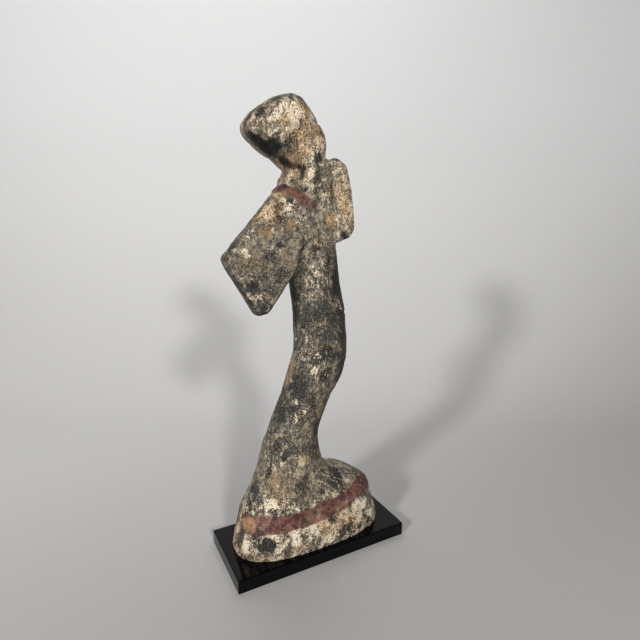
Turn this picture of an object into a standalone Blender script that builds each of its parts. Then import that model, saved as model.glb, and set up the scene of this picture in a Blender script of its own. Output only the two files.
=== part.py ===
"""A tomb figure of a dancer, moulded in grey earthenware, standing on a polished black plinth.

The figure is one fired piece: trumpet hem, slender body in an S curve, two flat hanging sleeves,
and a head tilted over the dropped shoulder with the hair drawn into a tail on the nape.
The plinth is a second piece, and the figure only rests on it.

The frame is the plinth's: origin at the centre of its underside, +X along its length, +Y to the
side that the dancer faces, +Z up. Lengths are in metres.
"""

import math

import bmesh
import bpy
import numpy as np
from mathutils import Matrix, Vector

# Driving sizes
FIGURE_HEIGHT = 0.380
PLINTH_LENGTH = 0.165
PLINTH_DEPTH = 0.074
PLINTH_THICKNESS = 0.0127
PLINTH_EDGE_CHAMFER = 0.0006
SEAT_GAP = 0.0003

# How finely the figure's clay surface is meshed
CLAY_GRAIN = 0.0024
CLAY_SMOOTHING_PASSES = 4
CLAY_FACE_SHARE = 0.22
RING_POINTS = 48
RING_SPACING = 0.0030

# The figure is modelled in parts of its own height: 380 parts from hem to crown.
PART = FIGURE_HEIGHT / 380

# Body sections from the hem up, in parts of the height:
# height, centre along X and Y, half width, half depth, squareness (2 is an ellipse)
BODY_SECTIONS = [
    (-4, -2, 0, 70, 32.5, 2.6),     # buried below the foot, and cut off flat
    (0, -2, 0, 71.3, 33.5, 2.6),    # foot
    (9, -2, 0, 70, 34, 2.6),        # lip of the hem
    (24, -2.5, 0, 66, 32.5, 2.5),   # lower edge of the painted border
    (38, -2.5, 0, 63, 30, 2.3),     # upper edge of the painted border
    (48, -5.7, 0, 55.3, 27.5, 2.1),     # shoulder of the trailing hem
    (56, -9.5, 0, 47.5, 26, 2.0),
    (63, -17, 0, 36.5, 25, 2.0),
    (72, -19.2, 0, 30.2, 24, 2.0),  # ankle, over the leading end
    (88, -19, 0, 26.5, 22.5, 2.0),
    (108, -14.2, 0, 23.2, 20.5, 2.0),
    (130, -5, 0, 23.2, 20, 2.0),    # knee
    (154, 6.4, 0, 26, 21, 2.0),
    (178, 11.6, 0, 24.4, 20.5, 2.0),    # hip, the outermost point of the sway
    (205, 10, 0, 23.8, 19.5, 2.0),
    (235, 5.6, 0, 22.6, 18, 2.0),   # waist
    (270, 2.5, 0, 21.5, 15.5, 2.0),
    (300, -2, 0, 25, 14.5, 2.3),    # shoulders
    (315, -7, 1, 18, 14, 2.0),
    (328, -8, 2, 12.5, 13, 2.0),    # neck
    (344, -11, 3, 12, 12, 2.0),
]

# The head has its own upright, tilted over the dropped shoulder.
HEAD_PIVOT = (-10, 1, 340)
HEAD_TILT = math.radians(35)
# Head sections along its own upright: height, centre across and out, half width, half depth,
# squareness
HEAD_SECTIONS = [
    (-25, -2, 2, 13, 12, 2.0),      # neck
    (-15, 1, 3, 17, 14, 2.0),
    (-9, 2, 4, 19, 15, 2.0),        # jaw
    (-2, 2, 4, 21.3, 16, 2.0),
    (5, 1.5, 1, 23.5, 19, 2.1),
    (13, -0.5, -1, 25.8, 22, 2.2),  # temples
    (20, -2, -1, 26, 23.5, 2.3),
    (29, -3, 0, 26.5, 23, 2.4),     # hair, widest near its flat top
    (36, -5, 0, 23.3, 21.5, 2.4),
    (40, -6.5, 0, 16.5, 18, 2.3),
    (42, -6.5, 0, 10, 12, 2.2),     # crown
]

# The hair drawn down the back of the head into a tail: centre X, Y, Z, half width, half depth
HAIR_TAIL = [
    (-5, -12, 357, 9, 8),
    (-3.5, -14, 347, 11, 9),
    (-3.5, -15, 337, 10.5, 8.5),
    (-3, -15, 325, 9.5, 6.5),
    (-5, -15, 312, 7, 4.5),
    (-3, -14, 302, 4.5, 3.5),
    (-1, -12, 294, 2.5, 3),
]

# Flat sleeves, as corners of a slab in the X-Z plane, then the Y of its two faces at the
# lowest corner and at the highest
DROPPED_SLEEVE = [
    (-20, 317),     # neck
    (-31, 309),     # shoulder
    (-78, 256.7),   # upper corner of the cuff
    (-74.3, 248),
    (-53, 211.5),   # lower corner of the cuff
    (-44, 213.5),
    (-18.3, 246.5),     # underarm
    (-3, 297),      # foot of the collar
    (-4, 312),
]
DROPPED_SLEEVE_FACES = ((-21, -6), (-14, 0))
DRAWN_SLEEVE = [
    (0, 314),       # neck
    (11, 331),
    (20, 335),      # raised shoulder
    (29, 328.5),
    (33.5, 312),
    (36.5, 290),
    (37.2, 277),    # cut cuff
    (32.5, 270.5),
    (19, 266),
    (2, 262),
    (0, 300),       # foot of the collar
]
DRAWN_SLEEVE_FACES = ((-14.5, 4), (-14.5, 4))
SLEEVE_EDGE_ROUNDING = 3.0
SLEEVE_CROWN_INSET = 9.0
SLEEVE_CROWN_RISE = 1.6

# Rounded forms on the head: offset across it, height on it, distance out to the face's side,
# then the half sizes across, up and out
HEAD_FORMS = [
    (0, 5, -8, 21, 18, 14.5),       # back of the skull
    (0, 8, 15, 16.5, 21, 11),       # mask of the face
    (0, 15, 24, 11, 4, 3),          # brow
    (0, 9, 25.5, 2.8, 7.5, 4),      # nose
    (0, -2.5, 23, 5.5, 2.2, 3),     # lips
    (0, -9, 20, 6, 4, 4.5),         # chin
]


def remove_everything():
    """Clears the scene, so that the script gives the same result wherever it starts."""
    for thing in list(bpy.data.objects):
        bpy.data.objects.remove(thing)


def steady_curve(knots, values, at):
    """Cubic through the values with flat or averaged slopes, so that it never overshoots them."""
    knots = np.asarray(knots, float)
    values = np.asarray(values, float)
    slopes = np.diff(values, axis=0) / np.diff(knots)[:, None]
    tangents = np.zeros_like(values)
    before, after = slopes[:-1], slopes[1:]
    same_way = before * after > 0
    mean = 2 * before * after / np.where(same_way, before + after, 1)
    tangents[1:-1] = np.where(same_way, mean, 0)
    tangents[0], tangents[-1] = slopes[0], slopes[-1]
    span = np.clip(np.searchsorted(knots, at) - 1, 0, len(knots) - 2)
    length = (knots[span + 1] - knots[span])[:, None]
    t = (np.asarray(at) - knots[span])[:, None] / length
    return (
        values[span] * (1 + 2 * t) * (1 - t) ** 2
        + tangents[span] * length * t * (1 - t) ** 2
        + values[span + 1] * t**2 * (3 - 2 * t)
        + tangents[span + 1] * length * t**2 * (t - 1)
    )


def section_ring(half_width, half_depth, squareness):
    """Superellipse |x/w|^n + |y/d|^n = 1, as RING_POINTS points round the centre."""
    angle = np.linspace(0, 2 * math.pi, RING_POINTS, endpoint=False)
    across, deep = np.cos(angle), np.sin(angle)
    power = 2 / squareness
    x = half_width * np.sign(across) * np.abs(across) ** power
    y = half_depth * np.sign(deep) * np.abs(deep) ** power
    return x, y


def add_loft(shape, rings):
    """Skins a list of rings of points, lowest first, and closes both ends with a face."""
    rows = [[shape.verts.new(Vector(p) * PART) for p in ring] for ring in rings]
    for low, high in zip(rows, rows[1:]):
        for i in range(RING_POINTS):
            j = (i + 1) % RING_POINTS
            shape.faces.new((low[i], low[j], high[j], high[i]))
    shape.faces.new(reversed(rows[0]))
    shape.faces.new(rows[-1])


def upright_rings(sections):
    """Level rings at an even spacing through a table of sections."""
    table = np.array(sections, float)
    heights = table[:, 0]
    count = math.ceil((heights[-1] - heights[0]) * PART / RING_SPACING)
    at = np.linspace(heights[0], heights[-1], count + 1)
    for height, row in zip(at, steady_curve(heights, table[:, 1:], at)):
        centre_x, centre_y, half_width, half_depth, squareness = row
        x, y = section_ring(half_width, half_depth, squareness)
        yield np.stack([centre_x + x, centre_y + y, np.full_like(x, height)], axis=1)


def add_body(shape):
    """The robe from hem to neck, as one loft of level sections."""
    add_loft(shape, list(upright_rings(BODY_SECTIONS)))


def head_axes():
    """Across, out and up on the head: the upright leans towards -X by the tilt."""
    lean = Matrix.Rotation(-HEAD_TILT, 3, "Y")
    return np.array([lean @ Vector((1, 0, 0)), Vector((0, 1, 0)), lean @ Vector((0, 0, 1))])


def add_head(shape):
    """Hair and skull, as one loft along the head's own upright."""
    rings = [np.array(HEAD_PIVOT) + ring @ head_axes() for ring in upright_rings(HEAD_SECTIONS)]
    add_loft(shape, rings)


def add_hair_tail(shape):
    """A flattened tube down the back of the head, tapering on the back of the robe."""
    table = np.array(HAIR_TAIL, float)
    steps = np.linspace(0, len(table) - 1, 6 * len(table))
    rows = steady_curve(np.arange(len(table)), table, steps)[::-1]
    rings = []
    for x, y, z, half_width, half_depth in rows:
        across, deep = section_ring(half_width, half_depth, 2)
        rings.append(np.stack([x + across, y + deep, np.full_like(across, z)], axis=1))
    add_loft(shape, rings)


def add_sleeve(shape, corners, faces):
    """A slab between two leaning faces, with rounded edges and slightly crowned sides."""
    slab = bmesh.new()
    heights = [z for x, z in corners]
    lowest, highest = min(heights), max(heights)
    sides = []
    for at_lowest, at_highest in zip(*faces):
        side = []
        for x, z in corners:
            share = (z - lowest) / (highest - lowest)
            y = at_lowest + share * (at_highest - at_lowest)
            side.append(slab.verts.new(Vector((x, y, z)) * PART))
        slab.faces.new(side)
        sides.append(side)
    back, front = sides
    for i, corner in enumerate(back):
        slab.faces.new((back[i - 1], corner, front[i], front[i - 1]))
    bmesh.ops.recalc_face_normals(slab, faces=slab.faces)
    bmesh.ops.bevel(
        slab,
        geom=list(slab.edges),
        offset=SLEEVE_EDGE_ROUNDING * PART,
        segments=3,
        profile=0.5,
        affect="EDGES",
    )
    broad = sorted(slab.faces, key=lambda f: f.calc_area())[-2:]
    for side in broad:
        bmesh.ops.inset_region(
            slab,
            faces=[side],
            thickness=SLEEVE_CROWN_INSET * PART,
            depth=SLEEVE_CROWN_RISE * PART,
        )
    mesh = bpy.data.meshes.new("sleeve")
    slab.to_mesh(mesh)
    slab.free()
    shape.from_mesh(mesh)
    bpy.data.meshes.remove(mesh)


def add_head_forms(shape):
    """Soft ellipsoids for the back of the skull and for the plain features of the face."""
    across, out, up = head_axes()
    for side, height, distance, half_across, half_up, half_out in HEAD_FORMS:
        centre = np.array(HEAD_PIVOT) + across * side + out * distance + up * height
        axes = Matrix((across * half_across, out * half_out, up * half_up)).transposed().to_4x4()
        place = Matrix.Translation(Vector(centre) * PART) @ (Matrix.Scale(PART, 4) @ axes)
        bmesh.ops.create_uvsphere(shape, u_segments=24, v_segments=16, radius=1, matrix=place)


def finish_material(name, colour, roughness, specular=0.5):
    """A plain Principled BSDF with the piece's own colour and gloss."""
    material = bpy.data.materials.new(name)
    material.use_nodes = True
    shader = material.node_tree.nodes["Principled BSDF"]
    shader.inputs["Base Color"].default_value = (*colour, 1)
    shader.inputs["Roughness"].default_value = roughness
    shader.inputs["Specular IOR Level"].default_value = specular
    return material


def place(name, mesh, material):
    """Links a mesh as a named object with its material."""
    mesh.materials.append(material)
    thing = bpy.data.objects.new(name, mesh)
    bpy.context.scene.collection.objects.link(thing)
    return thing


def make_plinth():
    """Rectangular block with a fine polished chamfer on every edge."""
    block = bmesh.new()
    bmesh.ops.create_cube(block, size=1)
    bmesh.ops.scale(block, vec=(PLINTH_LENGTH, PLINTH_DEPTH, PLINTH_THICKNESS), verts=block.verts)
    bmesh.ops.translate(block, vec=(0, 0, PLINTH_THICKNESS / 2), verts=block.verts)
    mesh = bpy.data.meshes.new("plinth")
    block.to_mesh(mesh)
    block.free()
    plinth = place("plinth", mesh, finish_material("black_acrylic", (0.006, 0.006, 0.007), 0.06))
    chamfer = plinth.modifiers.new("polished chamfer", "BEVEL")
    chamfer.width = PLINTH_EDGE_CHAMFER
    chamfer.segments = 1
    chamfer.limit_method = "ANGLE"
    return plinth


def make_foot_cutter():
    """A block under the figure's foot, which cuts the hem off flat where it rests."""
    depth = 0.1 * FIGURE_HEIGHT
    block = bmesh.new()
    bmesh.ops.create_cube(block, size=1)
    bmesh.ops.scale(block, vec=(FIGURE_HEIGHT, FIGURE_HEIGHT, depth), verts=block.verts)
    bmesh.ops.translate(block, vec=(0, 0, foot_height() - depth / 2), verts=block.verts)
    mesh = bpy.data.meshes.new("foot_cutter")
    block.to_mesh(mesh)
    block.free()
    cutter = bpy.data.objects.new("foot_cutter", mesh)
    bpy.context.scene.collection.objects.link(cutter)
    cutter.hide_render = True
    cutter.display_type = "WIRE"
    return cutter


def foot_height():
    """Where the figure's foot rests: the plinth's top and the seat gap."""
    return PLINTH_THICKNESS + SEAT_GAP


def make_dancer():
    """All the forms pressed together as one clay surface, then cut flat at the foot."""
    shape = bmesh.new()
    add_body(shape)
    add_head(shape)
    add_head_forms(shape)
    add_hair_tail(shape)
    add_sleeve(shape, DROPPED_SLEEVE, DROPPED_SLEEVE_FACES)
    add_sleeve(shape, DRAWN_SLEEVE, DRAWN_SLEEVE_FACES)
    bmesh.ops.translate(shape, vec=(0, 0, foot_height()), verts=shape.verts)
    mesh = bpy.data.meshes.new("dancer")
    shape.to_mesh(mesh)
    shape.free()
    clay = finish_material("painted_earthenware", (0.27, 0.235, 0.18), 0.85, specular=0.3)
    dancer = place("dancer", mesh, clay)

    press = dancer.modifiers.new("pressed together", "REMESH")
    press.mode = "VOXEL"
    press.voxel_size = CLAY_GRAIN
    smooth = dancer.modifiers.new("wiped smooth", "SMOOTH")
    smooth.factor = 0.5
    smooth.iterations = CLAY_SMOOTHING_PASSES
    thin = dancer.modifiers.new("fewer faces", "DECIMATE")
    thin.ratio = CLAY_FACE_SHARE
    cut = dancer.modifiers.new("flat foot", "BOOLEAN")
    cut.operation = "DIFFERENCE"
    cut.object = make_foot_cutter()
    return dancer


def main():
    remove_everything()
    make_plinth()
    make_dancer()


main()
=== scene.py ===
"""Looks of a moulded earthenware tomb figure of a dancer, on a polished black plinth.

The figure is one surface: the same forms as the CAD solid, fused at a finer grain, then given
the relief of worn, flaking slip.  Its colour is slate-grey fired clay under tan burial earth,
white slip and iron-red borders, laid by listed daubs and broken up by noise at the real
size of the flakes.
"""

import math

import bpy
import numpy as np
from mathutils import Matrix, Vector


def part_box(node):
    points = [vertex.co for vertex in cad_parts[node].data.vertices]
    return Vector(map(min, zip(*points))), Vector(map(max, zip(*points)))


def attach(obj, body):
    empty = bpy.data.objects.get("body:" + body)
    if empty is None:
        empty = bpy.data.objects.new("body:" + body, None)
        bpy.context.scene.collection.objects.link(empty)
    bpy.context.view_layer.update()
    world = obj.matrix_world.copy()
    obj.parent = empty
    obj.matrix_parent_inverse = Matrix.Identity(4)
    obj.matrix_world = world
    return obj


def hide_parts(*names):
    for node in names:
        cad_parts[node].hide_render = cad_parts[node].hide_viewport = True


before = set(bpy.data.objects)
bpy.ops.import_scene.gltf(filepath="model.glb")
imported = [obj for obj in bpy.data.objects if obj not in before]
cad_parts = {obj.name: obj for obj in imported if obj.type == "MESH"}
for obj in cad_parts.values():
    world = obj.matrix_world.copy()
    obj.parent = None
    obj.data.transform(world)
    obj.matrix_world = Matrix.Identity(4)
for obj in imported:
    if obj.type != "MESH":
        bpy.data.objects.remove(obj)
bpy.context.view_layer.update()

# Sizes are in parts unless a comment says otherwise.  One part is 1/380 of the figure's height,
# as in the CAD, and close to a millimetre.  The CAD's crown, once smoothed, stands this high.
CROWN = 379.66
FOOT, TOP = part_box("dancer")
PART = (TOP.z - FOOT.z) / CROWN
MILLIMETRE = 0.001

# In all the forms +X runs along the plinth, +Y to the dancer's front, and Z up from the foot.
# Body sections from the hem up: height, centre along X and Y, half width, half depth,
# squareness (2 is an ellipse)
BODY_SECTIONS = [
    (-4, -2, 0, 70, 32.5, 2.6),     # buried below the foot, and cut off flat
    (0, -2, 0, 71.3, 33.5, 2.6),    # foot
    (9, -2, 0, 70, 34, 2.6),        # lip of the hem
    (24, -2.5, 0, 66, 32.5, 2.5),   # lower edge of the painted border
    (38, -2.5, 0, 63, 30, 2.3),     # upper edge of the painted border
    (48, -5.7, 0, 55.3, 27.5, 2.1),     # shoulder of the trailing hem
    (56, -9.5, 0, 47.5, 26, 2.0),
    (63, -17, 0, 36.5, 25, 2.0),
    (72, -19.2, 0, 30.2, 24, 2.0),  # ankle, over the leading end
    (88, -19, 0, 26.5, 22.5, 2.0),
    (108, -14.2, 0, 23.2, 20.5, 2.0),
    (130, -5, 0, 23.2, 20, 2.0),    # knee
    (154, 6.4, 0, 26, 21, 2.0),
    (178, 11.6, 0, 24.4, 20.5, 2.0),    # hip, the outermost point of the sway
    (205, 10, 0, 23.8, 19.5, 2.0),
    (235, 5.6, 0, 22.6, 18, 2.0),   # waist
    (270, 2.5, 0, 21.5, 15.5, 2.0),
    (300, -2, 0, 25, 14.5, 2.3),    # shoulders
    (315, -7, 1, 18, 14, 2.0),
    (328, -8, 2, 12.5, 13, 2.0),    # neck
    (344, -11, 3, 12, 12, 2.0),
]

# The head has its own upright, tilted over the dropped shoulder.
HEAD_PIVOT = (-10, 1, 340)
HEAD_TILT = math.radians(35)
# Head sections along its own upright: height, centre across and out, half width, half depth,
# squareness
HEAD_SECTIONS = [
    (-25, -2, 2, 13, 12, 2.0),      # neck
    (-15, 1, 3, 17, 14, 2.0),
    (-9, 2, 4, 19, 15, 2.0),        # jaw
    (-2, 2, 4, 21.3, 16, 2.0),
    (5, 1.5, 1, 23.5, 19, 2.1),
    (13, -0.5, -1, 25.8, 22, 2.2),  # temples
    (20, -2, -1, 26, 23.5, 2.3),
    (29, -3, 0, 26.5, 23, 2.4),     # hair, widest near its flat top
    (36, -5, 0, 23.3, 21.5, 2.4),
    (40, -6.5, 0, 16.5, 18, 2.3),
    (42, -6.5, 0, 10, 12, 2.2),     # crown
]

# The hair drawn down the back of the head into a tail: centre X, Y, Z, half width, half depth
HAIR_TAIL = [
    (-5, -12, 357, 9, 8),
    (-3.5, -14, 347, 11, 9),
    (-3.5, -15, 337, 10.5, 8.5),
    (-3, -15, 325, 9.5, 6.5),
    (-5, -15, 312, 7, 4.5),
    (-3, -14, 302, 4.5, 3.5),
    (-1, -12, 294, 2.5, 3),
]

# Flat sleeves, as corners of a slab in the X-Z plane, then the Y of its two faces at the
# lowest corner and at the highest
DROPPED_SLEEVE = [
    (-20, 317),     # neck
    (-31, 309),     # shoulder
    (-78, 256.7),   # upper corner of the cuff
    (-74.3, 248),
    (-53, 211.5),   # lower corner of the cuff
    (-44, 213.5),
    (-18.3, 246.5),     # underarm
    (-3, 297),      # foot of the collar
    (-4, 312),
]
DROPPED_SLEEVE_FACES = ((-21, -6), (-14, 0))
DRAWN_SLEEVE = [
    (0, 314),       # neck
    (11, 331),
    (20, 335),      # raised shoulder
    (29, 328.5),
    (33.5, 312),
    (36.5, 290),
    (37.2, 277),    # cut cuff
    (32.5, 270.5),
    (19, 266),
    (2, 262),
    (0, 300),       # foot of the collar
]
DRAWN_SLEEVE_FACES = ((-14.5, 4), (-14.5, 4))
SLEEVE_EDGE_ROUNDING = 1.5      # how far either side of a corner the outline is averaged
SLEEVE_SQUARENESS = 8.0     # of the section from face to face
SLEEVE_CROWN_RISE = 1.2     # how far each face bulges beyond its Y

# Rounded forms on the head: offset across it, height on it, distance out to the face's side,
# then the half sizes across, up and out
HEAD_FORMS = [
    (0, 5, -8, 21, 18, 14.5),       # back of the skull
    (0, 8, 15, 16.5, 21, 11),       # mask of the face
    (0, 15, 24, 11, 4, 3),          # brow
    (0, 9, 25.5, 2.8, 7.5, 4),      # nose
    (0, -2.5, 23, 5.5, 2.2, 3),     # lips
    (0, -9, 20, 6, 4, 4.5),         # chin
]

# Paint, wear and painted shade are given as daubs, seen from behind the figure's left side.  A
# row is the centre X, Y and Z, the half sizes across and along, the lean in degrees and the amount.
DAUB_ACROSS = np.array([0.883, -0.469, 0])
DAUB_INWARD = np.array([0.469, 0.883, 0])
DAUB_HALF_DEPTH = 12

# where the white slip is thickest
SLIP_DAUBS = [
    (-28, -17, 293, 6.3, 0.9, -35, 0.8),
    (-22, -22, 363, 12.0, 10.4, 0, 0.8),
    (-32, -21, 364, 4.0, 9.5, 30, 0.7),
    (-17, -21, 344, 4.8, 19.2, -45, 0.6),
    (-20, -8, 318, 2.5, 4.9, 20, 0.6),
    (-1, -23, 344, 4.1, 5.7, 0, 0.45),
    (-9, -23, 360, 6.5, 9.0, -20, 0.55),
    (-4, -22, 351, 5.0, 7.0, 0, 0.4),
    (-7, -20, 321, 2.0, 7.4, 0, 0.75),
    (-29, -16, 300, 3.2, 2.4, 0, 0.9),
    (-25, -17, 295, 3.2, 1.6, -60, 0.8),
    (-42, -16, 291, 7.8, 6.3, 0, 0.8),
    (-49, -15, 286, 3.9, 3.1, 45, 0.5),
    (-62, -19, 262, 3.0, 5.3, -10, 0.6),
    (-54, -21, 227, 4.6, 3.9, 0, 0.4),
    (-1, -15, 264, 6.6, 6.6, 0, 0.25),
    (-4, -16, 237, 7.4, 12.3, 0, 0.45),
    (-8, -12, 187, 1.5, 5.1, -10, 0.9),
    (-12, -5, 185, 3.4, 4.3, 0, 0.35),
    (-5, -16, 173, 11.0, 5.9, 0, 0.35),
    (-4, -18, 160, 4.3, 3.4, 0, 0.7),
    (-19, -15, 134, 1.7, 3.5, 0, 0.9),
    (-21, -17, 121, 1.9, 5.2, 0, 0.9),
    (-12, -19, 126, 3.5, 3.5, 0, 0.5),
    (-44, -5, 89, 3.6, 7.2, 15, 0.3),
    (-17, -23, 83, 5.4, 6.3, 0, 0.6),
    (22, 9, 61, 8.0, 3.0, -60, 0.6),
    (-46, -19, 48, 7.3, 5.5, 0, 0.9),
    (-68, -15, 13, 5.7, 7.6, 0, 0.6),
    (-29, -32, 20, 7.6, 3.8, 70, 0.6),
    (40, -28, 20, 5.0, 10.1, 20, 0.5),
]
# where the slip is gone and the slate-grey clay shows
BARE_PATCHES = [
    (-12, -16, 322, 2.1, 7.3, 20, 0.75),
    (-2, -22, 332, 3.6, 4.4, 0, 0.8),
    (-2, -20, 319, 1.9, 7.3, 10, 0.6),
    (-4, -16, 237, 4.9, 9.8, 0, 0.4),
    (-3, -15, 262, 4.1, 6.5, 0, 0.35),
    (17, -23, 53, 5.7, 7.7, 20, 0.55),
    # the next three rows lie on the head's downturned lower-left side, in shade: bare clay and painted
    # shade as well
    (-49, -3, 346, 2.4, 9.7, -48, 0.8),
    (-24, -10, 328, 3.2, 7.3, -60, 0.7),
    (-42, -8, 340, 4.8, 17.7, -50, 0.9),
    (-13, -14, 375, 2.1, 5.8, 110, 0.7),
    (-35, -15, 371, 2.0, 10.5, 62, 0.75),
    (-49, -5, 363, 2.0, 13.9, 40, 0.8),
    (-1, -22, 350, 3.3, 2.5, 0, 0.5),
    (-49, -13, 351, 7.9, 6.4, -40, 0.25),
    (-53, -1, 354, 4.9, 6.5, 0, 0.45),
    (-70, -12, 265, 2.3, 9.2, 30, 0.8),
    (-51, -7, 286, 2.4, 34.8, 38, 0.4),
    (-67, -16, 235, 2.3, 26.2, -33, 0.55),
    (-46, -15, 362, 4.0, 5.6, 20, 0.9),
    (-32, -16, 373, 4.1, 2.4, 60, 0.7),
    (-21, -15, 376, 6.6, 2.1, 90, 0.7),
    # the next two rows, on the head's downturned lower-left side, are bare clay and painted shade as well
    (-38, -13, 339, 9.6, 4.8, -50, 0.9),
    (-26, -18, 339, 8.8, 6.4, -45, 0.5),
    (-2, -23, 334, 2.4, 2.4, 0, 0.9),
    (-12, -16, 323, 2.4, 7.3, 10, 0.7),
    (0, -18, 313, 3.3, 10.6, 10, 0.4),
    (-11, -16, 308, 4.0, 4.0, 0, 0.6),
    (-24, -17, 300, 2.4, 2.0, 0, 0.9),
    (-34, -18, 286, 6.3, 4.7, 0, 0.35),
    (-34, -19, 266, 2.7, 2.7, 0, 0.95),
    (-41, -19, 258, 7.0, 4.7, 45, 0.45),
    (-58, -20, 236, 3.8, 5.4, 30, 0.6),
    (-65, -20, 250, 5.3, 3.0, 0, 0.5),
    (-32, -20, 244, 3.9, 7.1, 40, 0.5),
    (-10, -14, 265, 1.3, 9.8, 35, 0.8),
    (13, -16, 305, 2.5, 10.0, 0, 0.5),
    (27, -14, 272, 7.6, 2.5, 60, 0.9),
    (10, -16, 251, 2.1, 13.3, 0, 0.6),
    (18, -15, 234, 3.4, 11.8, 0, 0.7),
    (-16, -2, 229, 3.4, 14.3, -10, 0.9),
    (-8, -12, 201, 5.0, 5.9, 0, 0.6),
    (7, -20, 176, 5.9, 8.5, 0, 0.6),
    (4, -21, 155, 4.3, 5.1, 0, 0.6),
    (-16, -13, 146, 7.7, 11.2, 15, 0.8),
    (-31, -7, 121, 5.3, 7.9, 15, 0.6),
    (-33, -19, 89, 3.5, 6.2, 10, 0.9),
    (-44, -12, 75, 2.7, 8.1, 20, 0.85),
    (-37, -13, 97, 3.5, 5.3, 10, 0.6),
    (18, -18, 59, 3.8, 9.6, -35, 0.85),
    (-18, -25, 61, 12.8, 6.4, -70, 0.55),
    (-57, -6, 54, 3.7, 13.0, 10, 0.6),
    (-53, -26, 16, 9.4, 7.5, 0, 0.8),
    (27, -32, 11, 4.0, 5.0, 0, 0.6),
    (19, -28, 41, 3.9, 7.7, -10, 0.5),
]
# where burial earth has stained the surface ochre
EARTH_STAINS = [
    (-11, -18, 368, 6.6, 5.8, 0, 0.85),
    (-30, -22, 357, 5.6, 6.3, 0, 0.7),
    (-3, -22, 351, 4.9, 8.2, 10, 0.85),
    (-24, -18, 280, 4.8, 6.3, 20, 0.6),
    (-45, -18, 277, 6.2, 5.4, 0, 0.75),
    (-30, -20, 255, 3.9, 6.3, 20, 0.5),
    (26, -16, 296, 4.2, 10.2, 10, 0.8),
    (13, -16, 285, 5.8, 7.5, 0, 0.8),
    (19, -16, 319, 5.0, 5.9, 0, 0.4),
    (-6, -32, 27, 8.6, 3.8, -20, 0.6),
    (-28, -33, 7, 9.6, 3.8, -10, 0.55),
    (18, -32, 20, 6.9, 4.9, -20, 0.4),
    (-11, -21, 357, 4.9, 4.9, 0, 0.6),
    (-21, -23, 359, 3.2, 2.4, 0, 0.5),
    (-7, -20, 317, 2.0, 3.2, 0, 0.6),
    (19, -15, 328, 5.1, 3.4, 0, 0.5),
    (-22, -18, 282, 3.2, 5.6, 10, 0.7),
    (-25, -19, 252, 4.0, 8.7, 10, 0.35),
    (24, -16, 283, 5.1, 5.1, 0, 0.5),
    (14, -16, 277, 4.2, 3.3, 0, 0.4),
    (-19, -1, 157, 3.5, 14.8, 15, 0.6),
    (-2, -20, 145, 3.4, 7.7, 0, 0.4),
    (2, -18, 123, 3.5, 8.8, 0, 0.5),
    (-16, -23, 85, 4.5, 7.2, 0, 0.6),
    (-1, -33, 20, 8.7, 3.4, 70, 0.7),
    (-21, -33, 8, 7.7, 3.4, 75, 0.5),
]
# painted shade, almost black: under the rim of the hair beside the face, and under the dropped sleeve
PAINTED_SHADE_DAUBS = [
    (-42, -8, 340, 4.5, 16.0, -50, 1),
    (-34, -14, 338, 6.0, 4.0, -45, 1),
    (-27, -12, 330, 3.5, 7.0, -60, 1),
    (-25, -3, 226, 3.0, 12.0, -10, 0.7),
]
# red paint on the collar
RED_DABS = [
    (-37, -9, 336, 2.4, 1.6, 0, 0.7),
    (-19, -16, 306, 6.0, 5.0, -45, 1),
    (-11, -16, 301, 6.0, 4.6, -45, 1),
    (-4, -16, 296, 4.6, 3.6, -45, 0.85),
    (2, -15, 292, 3.3, 4.1, -30, 0.4),
]
# where the red has turned orange-tan
RUST_DABS = [
    (-29, -15, 306, 4.0, 2.8, 60, 0.9),
    (-64, -13, 30, 7.5, 8.5, 0, 0.9),
]

# The painted border round the hem: X, then the height of its middle line and half its width
BORDER = [
    (-72, 29, 8.5), (-50, 32, 8.0), (-33, 31.5, 7.6), (5, 35, 7.8), (27, 38, 7.0), (42, 40.5, 6.2),
    (70, 42, 6.0),
]

# The red collar across the nape, as X and Z of its middle line
COLLAR = [(-33, 310), (-25, 308), (-14, 303), (-6, 298), (0, 293), (4, 288)]
COLLAR_HALF = 3.6

# How much of the slip is left, by height
SLIP_LEFT = [
    (0, 0.46), (22, 0.44), (30, 0.40), (50, 0.30), (75, 0.24), (100, 0.12), (130, 0.10),
    (155, 0.15), (180, 0.14), (205, 0.06), (225, 0.12), (250, 0.20), (280, 0.26), (320, 0.32),
    (345, 0.34), (380, 0.34),
]

# Hollows thumbed into the clay: centre, half sizes, depth
HOLLOWS = [
    ((-9.5, -19, 369), (3.5, 9, 3.5), 1.8),   # notch below the corner of the hair's flat top
    ((-45, -10, 346), (7, 9, 5), 2.0),  # under the rim of the hair, at the side of the face
    ((-38, -13, 339), (9, 9, 6), 2.8),
    ((-28, -14, 331), (7, 8, 4.5), 2.2),
    ((-13, -14, 322), (3.5, 6, 10), 0.6),   # between the neck and the tail of hair
]

# Relief on the face, the same on both sides: across, height, half sizes, lift
FACE_RELIEF = [
    (6.8, 11.2, 5.2, 3.6, -1.6),    # eye socket
    (6.8, 9.2, 3.9, 2.1, 1.7),      # eye behind its lids
    (7.2, 14.8, 5.5, 1.5, 0.5),     # brow
    (2.4, 2.8, 1.9, 1.9, 1.4),      # wing of the nose
    (10.5, 1.0, 5.5, 6.5, 0.8),     # cheek
    (2.3, -1.8, 3.0, 1.3, 1.0),     # upper lip
    (0.0, -5.0, 3.8, 1.5, 1.4),     # lower lip
    (0.0, -3.3, 5.4, 0.8, -1.3),    # parting of the lips
    (0.0, -7.9, 4.5, 1.3, -1.0),    # hollow above the chin
    (0.0, 0.2, 1.2, 1.6, -0.5),     # groove below the nose
]
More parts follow.
